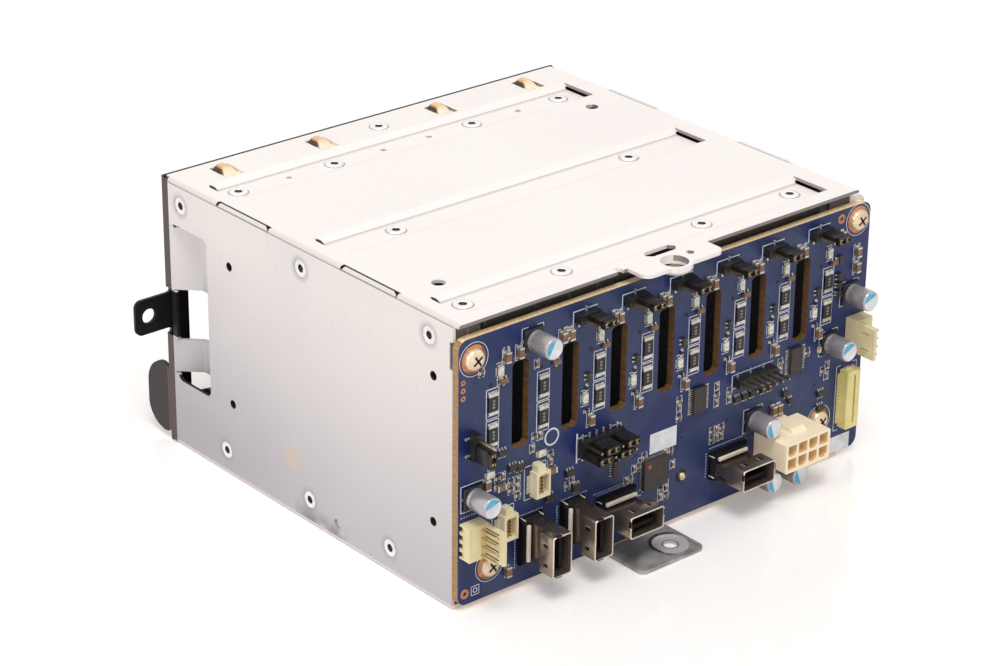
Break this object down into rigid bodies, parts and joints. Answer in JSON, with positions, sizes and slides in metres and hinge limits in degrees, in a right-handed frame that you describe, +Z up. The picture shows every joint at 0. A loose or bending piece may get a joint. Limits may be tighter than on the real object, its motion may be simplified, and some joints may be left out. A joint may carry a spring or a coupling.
{
  "type": "hot swap drive cage",
  "caption": "Sheet steel cage with vertical bays for 2.5 inch drives, fixing ears, and a rear backplane board carrying power, fan and data connectors.",
  "frame": {"origin": "centre of the cage's flat underside, midway between the side plates", "axes": "+Z up, -Y the side where drives enter, +Y the backplane side, +X the side plate with the wall tongues"},
  "size_m": [0.172, 0.1621, 0.0863],
  "materials": {
    "zinc_steel": "zinc plated sheet, fine matt grain",
    "frame_steel": "black painted sheet",
    "guide_plastic": "black moulded guide",
    "rivet_steel": "bright zinc",
    "spring_copper": "copper alloy spring leaf",
    "board_laminate": "blue solder mask",
    "screw_metal": "yellow passivated",
    "cream_plastic": "natural nylon",
    "pale_yellow_plastic": "pale yellow",
    "header_plastic": "black moulding",
    "port_nickel": "dark nickel plated shell",
    "can_aluminium": "aluminium can",
    "chip_black": "epoxy",
    "chip_tan": "ceramic",
    "led_white": "cream lens"
  },
  "bodies": {
    "cage": {"top_cover": "zinc_steel", "bottom_plate": "zinc_steel", "side_bracket_right": "zinc_steel", "side_bracket_left": "zinc_steel", "rear_cross_strip": "zinc_steel", "front_frame": "frame_steel", "lower_guide_base": "guide_plastic", "upper_guide_base": "guide_plastic", "lower_guide_blades": "guide_plastic", "upper_guide_blades": "guide_plastic", "floor_rivets": "rivet_steel", "side_rivets": "rivet_steel", "backplane_board": "board_laminate", "board_screws": "screw_metal", "locating_pin": "screw_metal", "power_connector": "cream_plastic", "fan_header_1": "cream_plastic", "fan_header_2": "cream_plastic", "small_header_1": "cream_plastic", "small_header_2": "cream_plastic", "ribbon_connector": "pale_yellow_plastic", "jumper_headers": "header_plastic", "config_header": "header_plastic", "service_header": "header_plastic", "capacitor_cans": "can_aluminium", "logic_chips": "chip_black", "chip_resistors": "chip_black", "chip_capacitors": "chip_tan", "status_leds": "led_white", "drive_connector_1": "header_plastic", "drive_connector_2": "header_plastic", "drive_connector_3": "header_plastic", "drive_connector_4": "header_plastic", "drive_connector_5": "header_plastic", "drive_connector_6": "header_plastic", "drive_connector_7": "header_plastic", "drive_connector_8": "header_plastic", "data_port_core_1": "header_plastic", "data_port_shell_1": "port_nickel", "data_port_core_2": "header_plastic", "data_port_shell_2": "port_nickel", "data_port_core_3": "header_plastic", "data_port_shell_3": "port_nickel", "data_port_core_4": "header_plastic", "data_port_shell_4": "port_nickel"},
    "spring_1": {"grounding_spring_1": "spring_copper"},
    "spring_2": {"grounding_spring_2": "spring_copper"},
    "spring_3": {"grounding_spring_3": "spring_copper"},
    "spring_4": {"grounding_spring_4": "spring_copper"},
    "jumper_1": {"jumper_cap_1": "header_plastic"},
    "jumper_2": {"jumper_cap_2": "header_plastic"},
    "jumper_3": {"jumper_cap_3": "header_plastic"},
    "jumper_4": {"jumper_cap_4": "header_plastic"},
    "jumper_5": {"jumper_cap_5": "header_plastic"},
    "jumper_6": {"jumper_cap_6": "header_plastic"},
    "jumper_7": {"jumper_cap_7": "header_plastic"},
    "config_jumper_1": {"config_cap_1": "header_plastic"},
    "config_jumper_2": {"config_cap_2": "header_plastic"},
    "config_jumper_3": {"config_cap_3": "header_plastic"},
    "config_jumper_4": {"config_cap_4": "header_plastic"}
  },
  "joints": [
    {"name": "spring_press_1", "type": "hinge", "parent": "cage", "child": "spring_1", "pos_m": [-0.0632, -0.05825, 0.08398], "axis": [0, 1, 0], "range_deg": [0, 12], "stiffness_Nm_per_rad": 0.03},
    {"name": "spring_press_2", "type": "hinge", "parent": "cage", "child": "spring_2", "pos_m": [-0.0282, -0.05825, 0.08398], "axis": [0, 1, 0], "range_deg": [0, 12], "stiffness_Nm_per_rad": 0.03},
    {"name": "spring_press_3", "type": "hinge", "parent": "cage", "child": "spring_3", "pos_m": [0.0171, -0.05825, 0.08398], "axis": [0, 1, 0], "range_deg": [0, 12], "stiffness_Nm_per_rad": 0.03},
    {"name": "spring_press_4", "type": "hinge", "parent": "cage", "child": "spring_4", "pos_m": [0.0516, -0.05825, 0.08398], "axis": [0, 1, 0], "range_deg": [0, 12], "stiffness_Nm_per_rad": 0.03},
    {"name": "jumper_pull_1", "type": "slide", "parent": "cage", "child": "jumper_1", "axis": [0, 1, 0], "range_m": [0, 0.007]},
    {"name": "jumper_pull_2", "type": "slide", "parent": "cage", "child": "jumper_2", "axis": [0, 1, 0], "range_m": [0, 0.007]},
    {"name": "jumper_pull_3", "type": "slide", "parent": "cage", "child": "jumper_3", "axis": [0, 1, 0], "range_m": [0, 0.007]},
    {"name": "jumper_pull_4", "type": "slide", "parent": "cage", "child": "jumper_4", "axis": [0, 1, 0], "range_m": [0, 0.007]},
    {"name": "jumper_pull_5", "type": "slide", "parent": "cage", "child": "jumper_5", "axis": [0, 1, 0], "range_m": [0, 0.007]},
    {"name": "jumper_pull_6", "type": "slide", "parent": "cage", "child": "jumper_6", "axis": [0, 1, 0], "range_m": [0, 0.007]},
    {"name": "jumper_pull_7", "type": "slide", "parent": "cage", "child": "jumper_7", "axis": [0, 1, 0], "range_m": [0, 0.007]},
    {"name": "config_pull_1", "type": "slide", "parent": "cage", "child": "config_jumper_1", "axis": [0, 1, 0], "range_m": [0, 0.007]},
    {"name": "config_pull_2", "type": "slide", "parent": "cage", "child": "config_jumper_2", "axis": [0, 1, 0], "range_m": [0, 0.007]},
    {"name": "config_pull_3", "type": "slide", "parent": "cage", "child": "config_jumper_3", "axis": [0, 1, 0], "range_m": [0, 0.007]},
    {"name": "config_pull_4", "type": "slide", "parent": "cage", "child": "config_jumper_4", "axis": [0, 1, 0], "range_m": [0, 0.007]}
  ]
}
